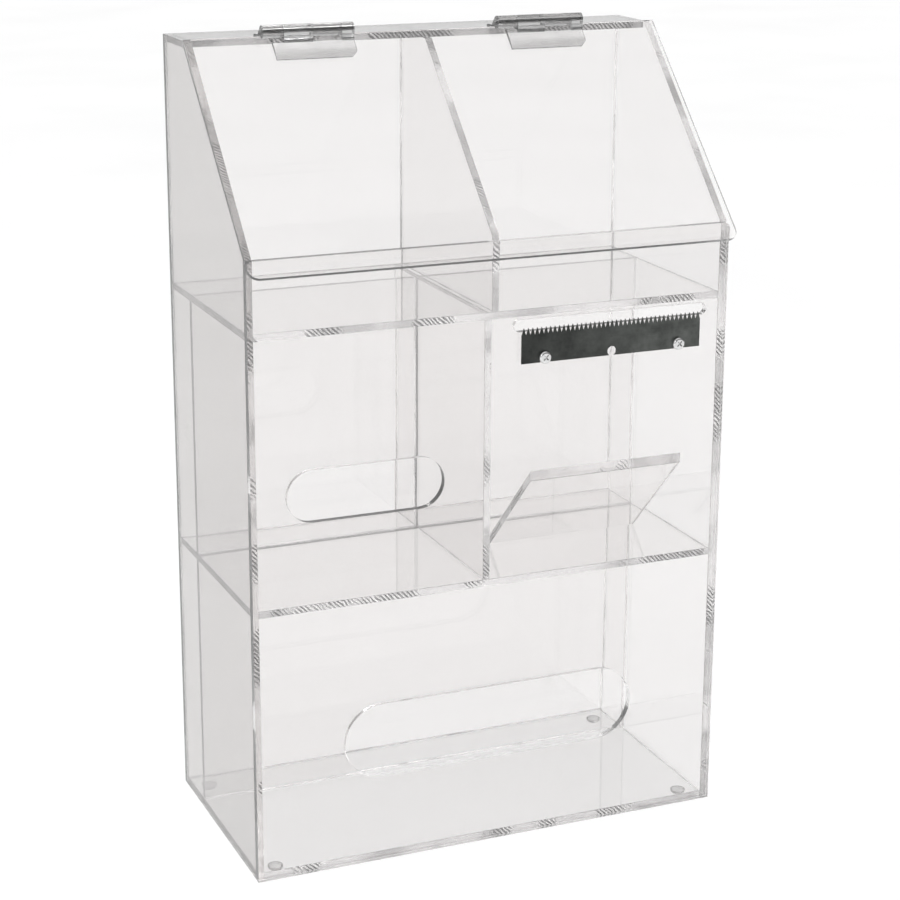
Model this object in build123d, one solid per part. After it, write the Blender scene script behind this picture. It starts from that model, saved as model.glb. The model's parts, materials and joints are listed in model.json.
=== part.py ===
"""Clear acrylic film and supplies dispenser: cemented sheets, a hinged sloping lid, and a film blade.

All sizes are millimetres. The cabinet is laid out from its own outer lower left front corner: x to the
right, y from the front face towards the back, z up from the underside of the base. Every piece is moved
into the part's frame, which is centred under the whole object, when it is written out.
"""
import os
from math import sqrt

from build123d import *

# Cabinet
WIDTH = 406.0
DEPTH = 203.0
HEIGHT = 648.0
SHEET = 6.0  # every cabinet sheet is this thick
FRONT_HEIGHT = 502.0  # top edge of the front panel
FRONT_CORNER_R = 5.0
TOP_DEPTH = 57.0  # flat top, from the back face to where the slope starts
SIDE_SLOPE_END = 503.0  # where the side panels' slope meets the front panel
TOP_SHELF_TOP = 446.5
MID_SHELF_TOP = 227.0
FALSE_BACK_Y = 148.0  # front face of the inner back sheets
UPPER_DIVIDER_X = 200.0  # left face
LOWER_DIVIDER_X = 194.0
DIVIDER_LID_GAP = 2.0

# Openings in the front panel: centre x, centre z, overall length, height
GLOVE_SLOT = (94.0, 316.0, 130.0, 42.0)
LOWER_SLOT = (201.0, 104.5, 253.0, 62.0)
FILM_SLOT = (302.5, 434.0, 170.0, 9.5)

# Ramp that keeps the film roll at the back of its cell
RAMP_WIDTH = 135.0
RAMP_FOOT_Y = 84.0  # where the ramp's lower face meets the shelf; it leans forward at 45 degrees

# Blade and its fasteners
BLADE_LENGTH = 158.0
BLADE_THICKNESS = 1.0
BLADE_BOTTOM = 403.4
BLADE_ROOT = 426.6
TOOTH_HEIGHT = 5.4
TOOTH_COUNT = 41
TOOTH_GULLET = 0.14  # flat part of a gullet, as a share of the pitch
SCREW_SPACING = 118.5
SCREW_Z = 407.6
NOTCH_R = 3.9
NOTCH_Z = 406.8
SCREW_R = 2.5
SCREW_HOLE_R = 2.7
HEAD_R = 5.2
HEAD_HEIGHT = 3.4
RECESS_SPAN = 5.6
RECESS_WIDTH = 1.1
RECESS_DEPTH = 2.2
NUT_FLATS = 8.0
NUT_HEIGHT = 4.0
SHANK_BEYOND_NUT = 1.5

# Lid: one flat sheet lying at 45 degrees on the front panel's edge and the top panel's edge
LID_THICKNESS = 3.2
LID_SIDE_OVERHANG = 1.5
LID_GAP = 0.3
LID_NOSE_Y = -12.0  # lower end of the lid's underside, in front of the front face
LID_CORNER_R = 9.0

# Hinges
HINGE_CENTRES = {"left": 99.0, "right": 300.0}
HINGE_LENGTH = 76.0
KNUCKLE_R = 5.2
KNUCKLE_LIFT = 0.3  # gap between a knuckle and the sheet it turns over
KNUCKLE_BORE_R = 1.55
PIN_R = 1.5
KNUCKLE_JOINTS = (17.0, 41.5, 65.5)  # from the hinge's left end
KNUCKLE_GAP = 0.3
LEAF_INSET = 8.0  # each leaf is this much shorter than the barrel, at one end
LEAF_LENGTH = 24.5  # from the axis to the leaf's outer edge
LEAF_THICKNESS = 2.6
LEAF_BEVEL = 9.0
LEAF_BEVEL_DROP = 1.5
LEAF_CORNER_CUT = 5.0
LEAF_CLEARANCE = 1.0
WEB_LENGTH = 9.5  # from the axis to where a leaf's knuckles have blended into its plate

# Feet
FOOT_R = 6.35
FOOT_TIP_R = 4.6
FOOT_HEIGHT = 3.5
FOOT_INSET = 20.0

TOP_EDGE_Y = DEPTH - TOP_DEPTH
SLOPE = sqrt(0.5)  # sine and cosine of the lid's 45 degrees
AXIS_RISE = KNUCKLE_R + KNUCKLE_LIFT  # above the top panel and above the lid's outer face
AXIS_OVER_SLOPE = LID_GAP + LID_THICKNESS + AXIS_RISE
HINGE_AXIS_Y = TOP_EDGE_Y + AXIS_RISE - AXIS_OVER_SLOPE / SLOPE
HINGE_AXIS_Z = HEIGHT + AXIS_RISE
INNER_RIGHT = WIDTH - SHEET
INNER_BACK = DEPTH - SHEET
LID_NOSE_REACH = LID_NOSE_Y - LID_THICKNESS * SLOPE
FRAME_SHIFT = (-WIDTH / 2, -(DEPTH + LID_NOSE_REACH) / 2, FOOT_HEIGHT)


def block(x, y, z):
    """A box from three (low, high) pairs."""
    size = [high - low for low, high in (x, y, z)]
    centre = [(high + low) / 2 for low, high in (x, y, z)]
    return Pos(*centre) * Box(*size)


def side_profile(points, x_low, x_high):
    """A sheet across x with an outline of (y, z) points."""
    outline = Polyline(*[(x_low, y, z) for y, z in points], close=True)
    return extrude(make_face(outline), amount=x_high - x_low, dir=(1, 0, 0))


def slot_cutter(centre_x, centre_z, length, height):
    """A round-ended slot through the front panel."""
    plane = Plane((centre_x, -SHEET, centre_z), x_dir=(1, 0, 0), z_dir=(0, -1, 0))
    return extrude(plane * SlotOverall(length, height), amount=-3 * SHEET)


def rod(centre, radius, length, axis):
    """A cylinder that starts at centre and runs along axis."""
    return extrude(Plane(centre, z_dir=axis) * Circle(radius), amount=length)


# Cabinet sheets

def front_panel():
    plane = Plane((WIDTH / 2, SHEET, FRONT_HEIGHT / 2), x_dir=(1, 0, 0), z_dir=(0, -1, 0))
    outline = plane * Rectangle(WIDTH, FRONT_HEIGHT)
    panel = extrude(outline, amount=SHEET)
    top_corners = panel.edges().filter_by(Axis.Y).group_by(Axis.Z)[-1]
    panel = fillet(top_corners, FRONT_CORNER_R)
    for slot in (GLOVE_SLOT, LOWER_SLOT, FILM_SLOT):
        panel -= slot_cutter(*slot)
    for x in screw_places():
        panel -= rod((x, -SHEET, SCREW_Z), SCREW_HOLE_R, 3 * SHEET, (0, 1, 0))
    return panel


def side_panel(x_low):
    points = [
        (SHEET, 0),
        (INNER_BACK, 0),
        (INNER_BACK, HEIGHT),
        (TOP_EDGE_Y, HEIGHT),
        (SHEET, SIDE_SLOPE_END),
    ]
    return side_profile(points, x_low, x_low + SHEET)


def shelf(top_z, y_low=SHEET):
    return block((SHEET, INNER_RIGHT), (y_low, INNER_BACK), (top_z - SHEET, top_z))


def upper_divider():
    roof = HEIGHT - SHEET
    rise = FRONT_HEIGHT - DIVIDER_LID_GAP  # the sloped edge lies on z = y + rise
    points = [
        (SHEET, TOP_SHELF_TOP),
        (INNER_BACK, TOP_SHELF_TOP),
        (INNER_BACK, roof),
        (roof - rise, roof),
        (SHEET, SHEET + rise),
    ]
    return side_profile(points, UPPER_DIVIDER_X, UPPER_DIVIDER_X + SHEET)


def lower_divider():
    x = (LOWER_DIVIDER_X, LOWER_DIVIDER_X + SHEET)
    return block(x, (SHEET, INNER_BACK), (MID_SHELF_TOP, TOP_SHELF_TOP - SHEET))


def false_back(x_low, x_high, z_low, z_high):
    return block((x_low, x_high), (FALSE_BACK_Y, FALSE_BACK_Y + SHEET), (z_low, z_high))


def film_ramp():
    """A 45 degree plate whose mitred ends sit on the shelf and against the front panel."""
    upright = SHEET / SLOPE  # the plate's thickness measured upright or level
    low = MID_SHELF_TOP
    reach = RAMP_FOOT_Y - SHEET
    points = [
        (RAMP_FOOT_Y, low),
        (RAMP_FOOT_Y + upright, low),
        (SHEET, low + reach + upright),
        (SHEET, low + reach),
    ]
    middle = FILM_SLOT[0]
    return side_profile(points, middle - RAMP_WIDTH / 2, middle + RAMP_WIDTH / 2)


# Blade and its fasteners

def screw_places():
    return [FILM_SLOT[0] - SCREW_SPACING / 2, FILM_SLOT[0] + SCREW_SPACING / 2]


def blade():
    left = FILM_SLOT[0] - BLADE_LENGTH / 2
    pitch = BLADE_LENGTH / TOOTH_COUNT
    flat = pitch * TOOTH_GULLET / 2
    points = [(left, BLADE_BOTTOM)]
    for tooth in range(TOOTH_COUNT):
        x = left + tooth * pitch
        points += [(x, BLADE_ROOT), (x + flat, BLADE_ROOT), (x + pitch / 2, BLADE_ROOT + TOOTH_HEIGHT)]
        points += [(x + pitch - flat, BLADE_ROOT)]
    right = left + BLADE_LENGTH
    points += [(right, BLADE_ROOT), (right, BLADE_BOTTOM)]
    outline = Polyline(*[(x, -BLADE_THICKNESS, z) for x, z in points], close=True)
    plate = extrude(make_face(outline), amount=BLADE_THICKNESS, dir=(0, 1, 0))
    for x in screw_places():
        plate -= rod((x, -SHEET, SCREW_Z), SCREW_HOLE_R, 2 * SHEET, (0, 1, 0))
    return plate - rod((FILM_SLOT[0], -SHEET, NOTCH_Z), NOTCH_R, 2 * SHEET, (0, 1, 0))


def pan_screw(x):
    """A pan head screw from the front, with a cross recess and a domed head."""
    front = -BLADE_THICKNESS
    head = rod((x, front, SCREW_Z), HEAD_R, HEAD_HEIGHT, (0, -1, 0))
    head = fillet(head.edges().sort_by(Axis.Y)[0], HEAD_HEIGHT * 0.6)
    shank_length = BLADE_THICKNESS + SHEET + NUT_HEIGHT + SHANK_BEYOND_NUT
    shank = rod((x, front, SCREW_Z), SCREW_R, shank_length, (0, 1, 0))
    face = front - HEAD_HEIGHT
    screw = head + shank
    for turn in (0, 90):
        arm = Pos(x, face, SCREW_Z) * Rot(0, 45 + turn, 0) * Box(RECESS_SPAN, 2 * RECESS_DEPTH, RECESS_WIDTH)
        screw -= arm
    return screw


def hex_nut(x):
    plane = Plane((x, SHEET, SCREW_Z), x_dir=(1, 0, 0), z_dir=(0, 1, 0))
    nut = extrude(plane * RegularPolygon(NUT_FLATS / 2, 6, major_radius=False), amount=NUT_HEIGHT)
    return nut - rod((x, 0, SCREW_Z), SCREW_R + 0.02, 4 * SHEET, (0, 1, 0))


# Lid

def on_slope():
    """The plane of the slope under the lid: x across, y up the slope, its origin nearest the hinge axis."""
    away = AXIS_OVER_SLOPE * SLOPE
    origin = (0, HINGE_AXIS_Y + away, HINGE_AXIS_Z - away)
    return Plane(origin, x_dir=(1, 0, 0), z_dir=(0, -SLOPE, SLOPE))


def lid():
    """The lid starts at the point nearest the hinge axis, so it never dips as it opens."""
    length = (on_slope().origin.Y - LID_GAP * SLOPE - LID_NOSE_Y) / SLOPE
    x = (-LID_SIDE_OVERHANG, WIDTH + LID_SIDE_OVERHANG)
    flat = block(x, (-length, 0), (LID_GAP, LID_GAP + LID_THICKNESS))
    flat = fillet(flat.edges().filter_by(Axis.Z).group_by(Axis.Y)[0], LID_CORNER_R)
    return on_slope().location * flat


# Hinges

def knuckles(left_end, which):
    """Ends of one leaf's barrel pieces: which is 0 for the first and third, 1 for the second and fourth."""
    ends = [0, *KNUCKLE_JOINTS, HINGE_LENGTH]
    pieces = []
    for number in range(which, len(ends) - 1, 2):
        low = ends[number] + (KNUCKLE_GAP / 2 if number else 0)
        high = ends[number + 1] - (KNUCKLE_GAP / 2 if number < len(ends) - 2 else 0)
        pieces.append((left_end + low, left_end + high))
    return pieces


def barrel(x_low, x_high, radius):
    return rod((x_low, HINGE_AXIS_Y, HINGE_AXIS_Z), radius, x_high - x_low, (1, 0, 0))


def leaf_plate(x_low, x_high):
    """A flat leaf on z = 0 that runs from y = 0 to minus its length, its far edge thinned by a bevel."""
    points = [
        (0, 0),
        (-LEAF_LENGTH, 0),
        (-LEAF_LENGTH, LEAF_THICKNESS - LEAF_BEVEL_DROP),
        (-LEAF_LENGTH + LEAF_BEVEL, LEAF_THICKNESS),
        (0, LEAF_THICKNESS),
    ]
    plate = side_profile(points, x_low, x_high)
    cut = LEAF_CORNER_CUT * sqrt(2)
    return plate - Pos(x_high, -LEAF_LENGTH, 0) * Rot(0, 0, 45) * Box(cut, cut, 4 * LEAF_THICKNESS)


def knuckle_web(x_low, x_high):
    """Joins a knuckle to a leaf's plate, in the same position as leaf_plate."""
    points = [
        (0, 0),
        (-WEB_LENGTH, 0),
        (-WEB_LENGTH, LEAF_THICKNESS),
        (-KNUCKLE_R * SLOPE, AXIS_RISE + KNUCKLE_R * SLOPE),
        (0, AXIS_RISE + KNUCKLE_R * SLOPE),
    ]
    return side_profile(points, x_low, x_high)


def hinge_leaf(left_end, which, plate, place):
    """One leaf: its plate and webs moved to place, with knuckles added and the other leaf's cleared."""
    leaf = place * plate
    for low, high in knuckles(left_end, 1 - which):
        leaf -= barrel(low - KNUCKLE_GAP, high + KNUCKLE_GAP, KNUCKLE_R + LEAF_CLEARANCE)
    for low, high in knuckles(left_end, which):
        ends = (low, high) if which else (-high, -low)
        leaf += place * knuckle_web(*ends)
    return leaf


def add_barrel(leaf, left_end, which):
    for low, high in knuckles(left_end, which):
        leaf += barrel(low, high, KNUCKLE_R)
    return leaf - barrel(left_end - 1, left_end + HINGE_LENGTH + 1, KNUCKLE_BORE_R)


def lid_leaf(left_end):
    place = on_slope().location * Pos(0, 0, LID_GAP + LID_THICKNESS)
    plate = leaf_plate(left_end + LEAF_INSET, left_end + HINGE_LENGTH)
    return add_barrel(hinge_leaf(left_end, 1, plate, place), left_end, 1)


def fixed_leaf(left_end):
    """The leaf on the top panel, cut back where the lid's upper end turns past it."""
    place = Pos(0, HINGE_AXIS_Y, HEIGHT) * Rot(0, 0, 180)
    plate = leaf_plate(-left_end - HINGE_LENGTH + LEAF_INSET, -left_end)
    leaf = hinge_leaf(left_end, 0, plate, place)
    reach = LID_GAP + LID_THICKNESS + LEAF_THICKNESS + KNUCKLE_LIFT
    leaf -= on_slope().location * block((0, WIDTH), (-LEAF_LENGTH, KNUCKLE_LIFT), (-LEAF_LENGTH, reach))
    return add_barrel(leaf, left_end, 0)


def hinge_pin(left_end):
    return barrel(left_end, left_end + HINGE_LENGTH, PIN_R)


# Feet

def foot(x, y):
    """A round bumper, wide against the base and narrower where it stands."""
    wide = Plane((x, y, 0), z_dir=(0, 0, -1)) * Circle(FOOT_R)
    half = Plane((x, y, -FOOT_HEIGHT * 0.55), z_dir=(0, 0, -1)) * Circle(FOOT_R - 0.25)
    tip = Plane((x, y, -FOOT_HEIGHT), z_dir=(0, 0, -1)) * Circle(FOOT_TIP_R)
    return loft([wide, half], ruled=True) + loft([half, tip], ruled=True)


def pieces():
    """Every separate piece by name."""
    cell_roof = TOP_SHELF_TOP - SHEET
    made = {
        "front_panel": front_panel(),
        "back_panel": block((0, WIDTH), (INNER_BACK, DEPTH), (0, HEIGHT)),
        "left_side_panel": side_panel(0),
        "right_side_panel": side_panel(INNER_RIGHT),
        "base_panel": shelf(SHEET),
        "mid_shelf": shelf(MID_SHELF_TOP),
        "top_shelf": shelf(TOP_SHELF_TOP),
        "top_panel": shelf(HEIGHT, TOP_EDGE_Y),
        "upper_divider": upper_divider(),
        "lower_divider": lower_divider(),
        "lower_false_back": false_back(SHEET, INNER_RIGHT, SHEET, MID_SHELF_TOP - SHEET),
        "mid_left_false_back": false_back(SHEET, LOWER_DIVIDER_X, MID_SHELF_TOP, cell_roof),
        "mid_right_false_back": false_back(LOWER_DIVIDER_X + SHEET, INNER_RIGHT, MID_SHELF_TOP, cell_roof),
        "film_ramp": film_ramp(),
        "film_blade": blade(),
        "blade_screws": Compound([pan_screw(x) for x in screw_places()]),
        "blade_nuts": Compound([hex_nut(x) for x in screw_places()]),
        "lid": lid(),
    }
    for side, centre in HINGE_CENTRES.items():
        left_end = centre - HINGE_LENGTH / 2
        made[f"{side}_hinge_fixed_leaf"] = fixed_leaf(left_end)
        made[f"{side}_hinge_lid_leaf"] = lid_leaf(left_end)
        made[f"{side}_hinge_pin"] = hinge_pin(left_end)
    for row, y in (("front", FOOT_INSET), ("rear", DEPTH - FOOT_INSET)):
        for side, x in (("left", FOOT_INSET), ("right", WIDTH - FOOT_INSET)):
            made[f"{row}_{side}_foot"] = foot(x, y)
    return made


os.makedirs("parts", exist_ok=True)
for name, piece in pieces().items():
    export_step(Pos(*FRAME_SHIFT) * piece, f"parts/{name}.step")
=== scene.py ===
"""Looks for the clear acrylic film and supplies dispenser: materials, studio light, floor and camera."""
import json
from math import pi, radians

import bmesh
import bpy
from mathutils import Matrix, Vector


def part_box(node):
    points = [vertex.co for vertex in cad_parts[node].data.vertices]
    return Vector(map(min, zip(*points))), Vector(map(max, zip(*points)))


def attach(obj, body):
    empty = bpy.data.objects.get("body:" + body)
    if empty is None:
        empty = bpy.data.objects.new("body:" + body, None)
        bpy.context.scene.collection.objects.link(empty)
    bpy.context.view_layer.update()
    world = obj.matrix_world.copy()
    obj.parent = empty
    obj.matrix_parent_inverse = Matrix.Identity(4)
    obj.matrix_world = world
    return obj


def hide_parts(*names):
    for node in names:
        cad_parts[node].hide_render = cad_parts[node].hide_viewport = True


MM = 0.001

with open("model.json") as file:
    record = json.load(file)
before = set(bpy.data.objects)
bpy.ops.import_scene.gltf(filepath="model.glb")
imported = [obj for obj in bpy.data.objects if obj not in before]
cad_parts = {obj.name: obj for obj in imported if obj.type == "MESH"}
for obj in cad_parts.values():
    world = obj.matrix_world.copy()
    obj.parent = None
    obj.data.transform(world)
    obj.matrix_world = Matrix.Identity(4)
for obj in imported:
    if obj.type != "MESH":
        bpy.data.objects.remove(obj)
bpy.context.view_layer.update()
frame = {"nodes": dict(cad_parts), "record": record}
nodes = frame["nodes"]
bodies = frame["record"]["behaviour"]["bodies"]

ACRYLIC_IOR = 1.49
JOINT_LINE = 0.03 * MM  # half the cement line between two sheets
SHEET_ARRIS = 0.30 * MM
HINGE_ARRIS = 0.20 * MM
LID_ARRIS = 0.15 * MM
WELD_REACH = 0.002 * MM
FLAT_ANGLE = radians(0.5)  # faces closer than this in direction are one flat face
SHARP_ANGLE = radians(32.0)

# Painted shade: how bright each sheet's colour is painted face on and at a grazing angle, standing in for
# reflections of the darker studio sides; sheets of the same acrylic get different pairs to match how grey
# each looks
PANEL_PAINTED_SHADE = (0.94, 0.74)
# The left and top sheets are the same acrylic as the rest, painted greyer as painted shade for how they are
# lit
LEFT_PAINTED_SHADE = (0.76, 0.28)
SIDE_PAINTED_SHADE = (0.965, 0.74)
SHELF_PAINTED_SHADE = (0.975, 0.86)
BASE_PAINTED_SHADE = (0.90, 0.58)
TOP_PAINTED_SHADE = (0.62, 0.0)
LID_PAINTED_SHADE = (0.965, 0.80)
SHEET_TINT = (1.0, 0.992, 0.99)
# Warmer tint of the left sheet, part of its painted shade
LEFT_PAINTED_SHADE_TINT = (1.0, 0.975, 0.965)

# Sawn edges
EDGE_FROST = 0.12  # share of a sawn edge that scatters light instead of passing it on
# Painted shade: darkness of the hatch painted on sawn edges
EDGE_HATCH_SHADE = 0.75  # how dark the saw hatch is
HATCH_PITCH = 3.8 * MM
ALONG_SAW_MARK, ACROSS_SAW_MARKS = 120.0, 900.0  # noise scales per metre
SHEET_BUMP = 0.6 * MM

# Share of light that a clear surface lets straight through for lamps and bounces
SHEET_PASS = 0.99
MOULDED_PASS = 0.98

FACING_FRONT, FACING_SIDE, FACING_UP = (0, 1, 0), (1, 0, 0), (0, 0, 1)
FACING_LID = (0, -1, 1)
FACING_RAMP = (0, 1, 1)

# Painted reflection: the blade's colour is painted brighter from left to right
BLADE_DULL_X, BLADE_BRIGHT_X = 0.02, 0.16  # the blade's reflection brightens from left to right

# Studio
FLOOR_RADIUS = 60.0
FLOOR_TONE = (0.90, 0.93)
CEILING_STRENGTH = 2.05
CEILING_ANGLE = 44.0
CEILING_TILT = -40.0
SOFTBOX_PLACE = (-2.4, -2.0, 1.9)
SOFTBOX_AIM = (0, 0, 0.3)
SOFTBOX_SIZE = (1.2, 1.8)
SOFTBOX_POWER = 20.0
AHEAD_Y, AHEAD_X = 0.92, 0.39  # the level direction the camera looks in
SIDE_GLOW, CEILING_GLOW = 0.24, 0.8

# Camera: a 36 mm wide sensor, placed in front of and to the left of the part
CAMERA_PLACE = (-0.6934, -1.6315, 0.8506)
CAMERA_LENS = 89.53
CAMERA_PITCH = 74.27
CAMERA_YAW = -23.04
CAMERA_ROLL = 0.231
CAMERA_SHIFT_Y = -0.05


# Node helpers

class Tree:
    """Short ways to add and join the nodes of one material or world."""

    def __init__(self, owner):
        owner.use_nodes = True
        self.tree = owner.node_tree
        self.tree.nodes.clear()

    def add(self, kind, inputs=None, **settings):
        node = self.tree.nodes.new(kind)
        for name, value in settings.items():
            setattr(node, name, value)
        for name, value in (inputs or {}).items():
            self.feed(node.inputs[name], value)
        return node

    def feed(self, socket, value):
        if isinstance(value, bpy.types.NodeSocket):
            self.tree.links.new(value, socket)
        else:
            socket.default_value = value

    def math(self, operation, a, b=0.0):
        node = self.add("ShaderNodeMath", operation=operation)
        self.feed(node.inputs[0], a)
        self.feed(node.inputs[1], b)
        return node.outputs[0]

    def times(self, first, *others):
        for other in others:
            first = self.math("MULTIPLY", first, other)
        return first

    def between(self, value, low, high, to_low=0.0, to_high=1.0):
        node = self.add("ShaderNodeMapRange", {
            "Value": value, "From Min": low, "From Max": high, "To Min": to_low, "To Max": to_high,
        })
        return node.outputs["Result"]

    def noise(self, vector, scale, detail=2.0, roughness=0.5):
        node = self.add("ShaderNodeTexNoise", {
            "Vector": vector, "Scale": scale, "Detail": detail, "Roughness": roughness,
        })
        return node.outputs["Fac"]

    def stretched(self, vector, factors):
        node = self.add("ShaderNodeVectorMath", operation="MULTIPLY")
        self.feed(node.inputs[0], vector)
        node.inputs[1].default_value = factors
        return node.outputs[0]

    def dot(self, vector, axis):
        node = self.add("ShaderNodeVectorMath", operation="DOT_PRODUCT")
        self.feed(node.inputs[0], vector)
        node.inputs[1].default_value = axis
        return node.outputs["Value"]

    def grey(self, value):
        return self.tinted(value, (1.0, 1.0, 1.0))

    def tinted(self, value, tint):
        node = self.add("ShaderNodeCombineColor")
        for channel, amount in zip(("Red", "Green", "Blue"), tint):
            self.feed(node.inputs[channel], value if amount == 1.0 else self.times(value, amount))
        return node.outputs["Color"]

    def squareness(self, normal, axis):
        """1 where the surface lies square to the axis, 0 where it runs along it."""
        return self.math("ABSOLUTE", self.dot(normal, Vector(axis).normalized()))

    def glancing(self, power):
        """Rises to 1 where the outside of a surface is seen at a grazing angle."""
        weight = self.add("ShaderNodeLayerWeight", {"Blend": 0.5})
        outside = self.math("SUBTRACT", 1.0, self.add("ShaderNodeNewGeometry").outputs["Backfacing"])
        return self.times(self.math("POWER", weight.outputs["Facing"], power), outside)

    def finish(self, shader):
        self.add("ShaderNodeOutputMaterial", {"Surface": shader.outputs[0]})


def new_material(name):
    material = bpy.data.materials.new(name)
    return material, Tree(material)


def let_light_through(t, surface, share):
    """Lamp and bounce light passes straight through the clear surface and is counted once behind it."""
    path = t.add("ShaderNodeLightPath")
    clear = t.add("ShaderNodeBsdfTransparent", {"Color": (share, share, share, 1.0)})
    mix = t.add("ShaderNodeMixShader")
    t.feed(mix.inputs[0], t.math("MAXIMUM", path.outputs["Is Shadow Ray"], path.outputs["Is Diffuse Ray"]))
    t.feed(mix.inputs[1], surface.outputs[0])
    t.feed(mix.inputs[2], clear.outputs[0])
    t.finish(mix)


# Clear materials

def painted_saw_shade(t, spot, edge, depth):
    """Dark slanting hatch here and there on sawn edges: painted shade standing in for the dark sparkle that
    saw marks show by refraction.
    """
    slant = t.dot(spot, [2 * pi / HATCH_PITCH] * 3)
    phase = t.math("ADD", slant, t.times(t.noise(spot, 120.0), 9.0))
    teeth = t.between(t.math("SINE", phase), -0.2, 0.2)
    patches = t.between(t.noise(spot, 24.0), 0.51, 0.58)
    return t.times(teeth, patches, edge, depth)


def sheet_bump(t, spot, edge, thin_axis, saw_depth):
    """Saw marks that run across the thickness of an edge, and the slight ripple of cast sheet."""
    less = ACROSS_SAW_MARKS - ALONG_SAW_MARK
    scales = [ACROSS_SAW_MARKS - less * abs(c) for c in Vector(thin_axis).normalized()]
    marks = t.noise(t.stretched(spot, scales), 1.0, detail=3.0, roughness=0.6)
    ripple = t.noise(spot, 9.0, detail=1.0)
    height = t.math("ADD", t.times(marks, t.times(edge, saw_depth)), t.times(ripple, 0.12))
    return t.add("ShaderNodeBump", {"Strength": 1.0, "Distance": SHEET_BUMP, "Height": height})


def sheet_haze(t, spot):
    """Roughness of dust and of places that hands have touched."""
    dust = t.between(t.noise(spot, 420.0, detail=4.0, roughness=0.7), 0.66, 0.78)
    handled = t.between(t.noise(spot, 14.0, detail=3.0), 0.45, 0.8)
    return t.math("ADD", t.times(dust, 0.05), t.times(handled, 0.012))


def sheet_material(name, thin_axis, painted_shade, saw_depth, edge_roughness, hatch=EDGE_HATCH_SHADE, tint=SHEET_TINT):
    """Cast acrylic sheet. thin_axis is the sheet's normal: other faces are its sawn and cemented edges."""
    material, t = new_material(name)
    place = t.add("ShaderNodeTexCoord")
    spot = place.outputs["Object"]
    edge = t.between(t.squareness(place.outputs["Normal"], thin_axis), 0.9, 0.6)
    painted_hatch_shade = painted_saw_shade(t, spot, edge, hatch)
    # The real frost of the edge and the painted hatch shade both take transmission away
    solid = t.math("MAXIMUM", t.times(edge, EDGE_FROST), painted_hatch_shade)

    # Painted shade: the colour is darkened at grazing angles, standing in for reflections of the darker
    # studio sides
    seen = t.between(t.glancing(2.2), 0.0, 1.0, *painted_shade)
    cloud = t.between(t.noise(spot, 3.0, detail=1.0), 0.3, 0.7, 0.995, 1.0)
    shade = t.times(seen, cloud, t.math("SUBTRACT", 1.0, painted_hatch_shade))
    glass = t.add("ShaderNodeBsdfPrincipled", {
        "Base Color": t.tinted(shade, tint),
        "Roughness": t.math("ADD", sheet_haze(t, spot), t.times(edge, edge_roughness)),
        "IOR": ACRYLIC_IOR,
        "Transmission Weight": t.math("SUBTRACT", 1.0, solid),
        "Normal": sheet_bump(t, spot, edge, thin_axis, saw_depth).outputs["Normal"],
    })
    let_light_through(t, glass, SHEET_PASS)
    return material


def moulded_clear(name, roughness, painted_shade, flat=FACING_UP):
    """Moulded clear plastic: hinges, pins and bumpers. Faces that slope from the flat axis get painted shade,
    and all faces are painted greyer at a grazing angle.
    """
    material, t = new_material(name)
    place = t.add("ShaderNodeTexCoord")
    spot = place.outputs["Object"]
    # Painted shade on faces that slope from the flat axis, such as the leaf bevel strip and the barrels
    sloped_painted_shade = t.between(t.squareness(place.outputs["Normal"], flat), 0.998, 0.989, 1.0, 0.6)
    flow = t.noise(t.stretched(spot, (60.0, 700.0, 700.0)), 1.0)
    specks = t.between(t.noise(spot, 900.0), 0.62, 0.75)
    bump = t.add("ShaderNodeBump", {"Strength": 1.0, "Distance": 0.1 * MM, "Height": flow})
    cloud = t.between(t.noise(spot, 120.0), 0.3, 0.7, 0.95, 1.0)
    # Painted shade: the colour is greyer at grazing angles
    seen = t.between(t.glancing(1.6), 0.0, 1.0, *painted_shade)
    glass = t.add("ShaderNodeBsdfPrincipled", {
        "Base Color": t.grey(t.times(seen, cloud, sloped_painted_shade)),
        "Roughness": t.math("ADD", roughness, t.times(specks, 0.12)),
        "IOR": ACRYLIC_IOR,
        "Transmission Weight": 1.0,
        "Normal": bump.outputs["Normal"],
    })
    let_light_through(t, glass, MOULDED_PASS)
    return material


# Metals

def blade_material():
    """Dark rolled steel with fine marks along the blade and a faint oily mottling."""
    material, t = new_material("dark blade steel")
    spot = t.add("ShaderNodeTexCoord").outputs["Object"]
    grain = t.noise(t.stretched(spot, (70.0, 900.0, 2600.0)), 1.0, detail=4.0, roughness=0.65)
    mottle = t.noise(spot, 55.0, detail=4.0, roughness=0.6)
    across = t.add("ShaderNodeSeparateXYZ", {"Vector": spot}).outputs["X"]
    # Painted reflection: the blade's base colour brightens from left to right
    painted_reflection = t.between(across, BLADE_DULL_X, BLADE_BRIGHT_X, 0.55, 1.35)
    tone = t.math("ADD", t.between(mottle, 0.3, 0.7, 0.03, 0.10), t.times(grain, 0.03))
    bump = t.add("ShaderNodeBump", {"Strength": 0.35, "Distance": 0.05 * MM, "Height": grain})
    t.finish(t.add("ShaderNodeBsdfPrincipled", {
        "Base Color": t.tinted(t.times(tone, painted_reflection), (1.0, 1.05, 1.0)),
        "Metallic": 1.0,
        "Roughness": t.between(mottle, 0.3, 0.7, 0.30, 0.46),
        "Normal": bump.outputs["Normal"],
    }))
    return material


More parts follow.
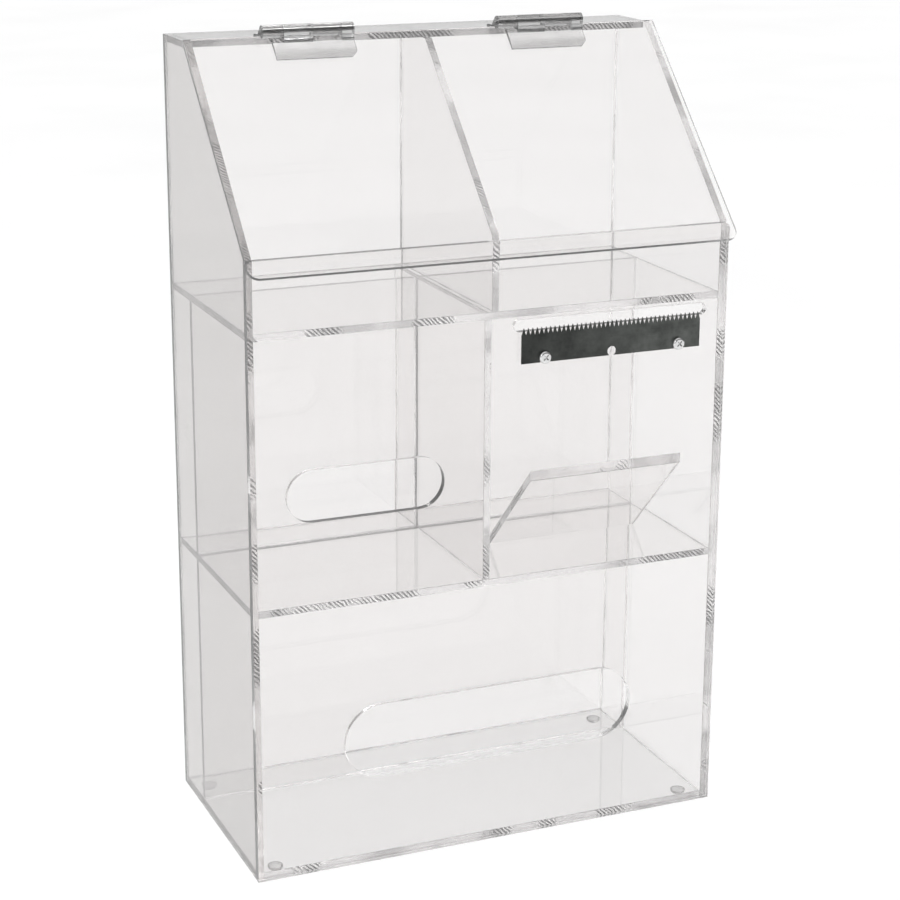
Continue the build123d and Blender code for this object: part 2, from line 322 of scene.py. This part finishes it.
def plated_material():
    """Bright plating with small handling marks."""
    material, t = new_material("bright plated steel")
    spot = t.add("ShaderNodeTexCoord").outputs["Object"]
    fine = t.noise(spot, 1500.0, detail=3.0)
    wear = t.noise(spot, 260.0, detail=3.0)
    bump = t.add("ShaderNodeBump", {"Strength": 0.25, "Distance": 0.04 * MM, "Height": fine})
    t.finish(t.add("ShaderNodeBsdfPrincipled", {
        "Base Color": t.grey(t.between(wear, 0.3, 0.7, 0.62, 0.8)),
        "Metallic": 1.0,
        "Roughness": t.between(wear, 0.3, 0.7, 0.10, 0.22),
        "Normal": bump.outputs["Normal"],
    }))
    return material


# Pieces

def dress(names, material):
    for name in names:
        mesh = nodes[name].data
        mesh.materials.clear()
        mesh.materials.append(material)


def cleaned_mesh(name):
    """A copy of a node's mesh with whole flat faces and sharp corners marked, a hair smaller all round."""
    mesh = nodes[name].data.copy()
    mesh.name = name + "_finished"
    shape = bmesh.new()
    shape.from_mesh(mesh)
    bmesh.ops.remove_doubles(shape, verts=shape.verts, dist=WELD_REACH)
    bmesh.ops.dissolve_limit(shape, angle_limit=FLAT_ANGLE, verts=shape.verts, edges=shape.edges)
    low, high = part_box(name)
    middle = (low + high) / 2
    shrink = Vector([1.0 - 2 * JOINT_LINE / max(high[i] - low[i], MM) for i in range(3)])
    for vert in shape.verts:
        vert.co = middle + (vert.co - middle) * shrink
    shape.normal_update()
    for edge in shape.edges:
        sharp = len(edge.link_faces) == 2 and edge.calc_face_angle(0.0) > SHARP_ANGLE
        edge.smooth = not sharp
    for face in shape.faces:
        face.smooth = True
    shape.to_mesh(mesh)
    shape.free()
    if mesh.attributes.get("custom_normal"):
        mesh.attributes.remove(mesh.attributes["custom_normal"])
    return mesh


def finished_copy(name, arris, material):
    """A clear piece as it is made: sharp corners broken, and cemented faces a hair apart."""
    mesh = cleaned_mesh(name)
    mesh.materials.clear()
    mesh.materials.append(material)
    piece = bpy.data.objects.new(name + "_finished", mesh)
    bpy.context.scene.collection.objects.link(piece)
    bevel = piece.modifiers.new("broken corners", "BEVEL")
    bevel.limit_method = "ANGLE"
    bevel.angle_limit = SHARP_ANGLE
    bevel.width = arris
    bevel.segments = 2
    bevel.use_clamp_overlap = True
    bevel.harden_normals = True
    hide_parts(name)
    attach(piece, next(body for body, members in bodies.items() if name in members))


def finish_all(names, arris, material):
    for name in names:
        finished_copy(name, arris, material)


def nodes_ending(ending):
    return [name for name in nodes if name.endswith(ending)]


def finish_sheets():
    sheets = [
        (["front_panel", "back_panel"],
         sheet_material("clear front and back sheet", FACING_FRONT, PANEL_PAINTED_SHADE, 0.05, 0.02, hatch=0.15)),
        (["lower_false_back", "mid_left_false_back", "mid_right_false_back"],
         sheet_material("clear inner back sheet", FACING_FRONT, PANEL_PAINTED_SHADE, 0.3, 0.04)),
        # The left sheet gets its own painted shade and tint
        (["left_side_panel"],
         sheet_material("clear left sheet", FACING_SIDE, LEFT_PAINTED_SHADE, 0.15, 0.03, tint=LEFT_PAINTED_SHADE_TINT)),
        (["right_side_panel", "upper_divider", "lower_divider"],
         sheet_material("clear side sheet", FACING_SIDE, SIDE_PAINTED_SHADE, 0.15, 0.03)),
        (["mid_shelf", "top_shelf"],
         sheet_material("clear shelf sheet", FACING_UP, SHELF_PAINTED_SHADE, 0.3, 0.04)),
        (["base_panel"],
         sheet_material("clear base sheet", FACING_UP, BASE_PAINTED_SHADE, 0.3, 0.04)),
        # The top sheet is painted much greyer: painted shade
        (["top_panel"],
         sheet_material("clear top sheet", FACING_UP, TOP_PAINTED_SHADE, 0.3, 0.05)),
        (["film_ramp"],
         sheet_material("clear ramp sheet", FACING_RAMP, SHELF_PAINTED_SHADE, 0.3, 0.05)),
    ]
    for names, material in sheets:
        finish_all(names, SHEET_ARRIS, material)
    lid_clear = sheet_material("clear lid sheet", FACING_LID, LID_PAINTED_SHADE, 0.1, 0.22, hatch=0.1)
    finish_all(["lid"], LID_ARRIS, lid_clear)


def finish_moulded_pieces():
    # Pairs of painted shade, face on and at a grazing angle, for each moulded piece
    fixed_leaf = moulded_clear("clear hinge plastic", 0.03, (0.92, 0.25))
    lid_leaf = moulded_clear("clear lid leaf plastic", 0.03, (0.92, 0.25), flat=FACING_LID)
    pin = moulded_clear("clear pin plastic", 0.06, (0.7, 0.1))
    bumper = moulded_clear("clear bumper rubber", 0.12, (0.82, 0.2))
    finish_all(nodes_ending("fixed_leaf"), HINGE_ARRIS, fixed_leaf)
    finish_all(nodes_ending("lid_leaf"), HINGE_ARRIS, lid_leaf)
    finish_all(nodes_ending("_pin"), HINGE_ARRIS, pin)
    finish_all(nodes_ending("_foot"), HINGE_ARRIS, bumper)


# Studio

def floor():
    bpy.ops.mesh.primitive_circle_add(vertices=96, radius=FLOOR_RADIUS, fill_type="NGON", location=(0, 0, 0))
    ground = bpy.context.object
    ground.name = "studio_floor"
    material, t = new_material("pale studio floor")
    spot = t.add("ShaderNodeTexCoord").outputs["Object"]
    tone = t.between(t.noise(spot, 2.0, detail=3.0), 0.3, 0.7, *FLOOR_TONE)
    t.finish(t.add("ShaderNodeBsdfPrincipled", {
        "Base Color": t.grey(tone), "Roughness": 0.9, "Specular IOR Level": 0.0,
    }))
    ground.data.materials.append(material)


def lamp_object(name, kind, energy):
    lamp = bpy.data.lights.new(name, kind)
    lamp.energy = energy
    thing = bpy.data.objects.new(name, lamp)
    bpy.context.scene.collection.objects.link(thing)
    return thing


def softbox():
    """A soft lamp to the left of the camera, for the metal and the hinges."""
    thing = lamp_object("left front", "AREA", SOFTBOX_POWER)
    thing.data.shape = "RECTANGLE"
    thing.data.size, thing.data.size_y = SOFTBOX_SIZE
    thing.location = SOFTBOX_PLACE
    aim = Vector(SOFTBOX_AIM) - Vector(SOFTBOX_PLACE)
    thing.rotation_euler = aim.to_track_quat("-Z", "Y").to_euler()


def even_light():
    """A very large light far away, high behind the part, the same everywhere on the floor."""
    thing = lamp_object("ceiling", "SUN", CEILING_STRENGTH)
    thing.data.angle = radians(CEILING_ANGLE)
    thing.rotation_euler = (radians(CEILING_TILT), 0.0, 0.0)


def studio_air():
    """White behind the part and above, darker to the sides and where the camera stands."""
    world = bpy.data.worlds.new("studio")
    bpy.context.scene.world = world
    t = Tree(world)
    way = t.add("ShaderNodeTexCoord").outputs["Generated"]
    parts = t.add("ShaderNodeSeparateXYZ", {"Vector": way}).outputs
    forward = t.math("ADD", t.times(parts["Y"], AHEAD_Y), t.times(parts["X"], AHEAD_X))
    around = t.between(forward, 0.45, 0.9, SIDE_GLOW, 1.0)
    above = t.between(parts["Z"], 0.55, 0.8, 0.0, CEILING_GLOW)
    glow = t.add("ShaderNodeBackground", {"Color": t.grey(t.math("MAXIMUM", around, above)), "Strength": 1.0})
    t.add("ShaderNodeOutputWorld", {"Surface": glow.outputs[0]})


def place_camera():
    camera = bpy.data.cameras.new("camera")
    camera.sensor_width = 36.0
    camera.lens = CAMERA_LENS
    camera.shift_y = CAMERA_SHIFT_Y
    camera.clip_start = 0.05
    camera.clip_end = 200.0
    viewer = bpy.data.objects.new("camera", camera)
    bpy.context.scene.collection.objects.link(viewer)
    turn = Matrix.Rotation(radians(CAMERA_YAW), 4, "Z") @ Matrix.Rotation(radians(CAMERA_PITCH), 4, "X")
    turn = turn @ Matrix.Rotation(radians(CAMERA_ROLL), 4, "Z")
    viewer.matrix_world = Matrix.Translation(CAMERA_PLACE) @ turn
    bpy.context.scene.camera = viewer


def light_paths():
    """Enough bounces for a look through every sheet of the cabinet and back."""
    scene = bpy.context.scene
    scene.view_settings.view_transform = "Standard"
    scene.cycles.max_bounces = 40
    scene.cycles.transmission_bounces = 40
    scene.cycles.glossy_bounces = 16
    scene.cycles.transparent_max_bounces = 64


finish_sheets()
finish_moulded_pieces()
dress(["film_blade"], blade_material())
dress(["blade_screws", "blade_nuts"], plated_material())
floor()
studio_air()
even_light()
softbox()
place_camera()
light_paths()
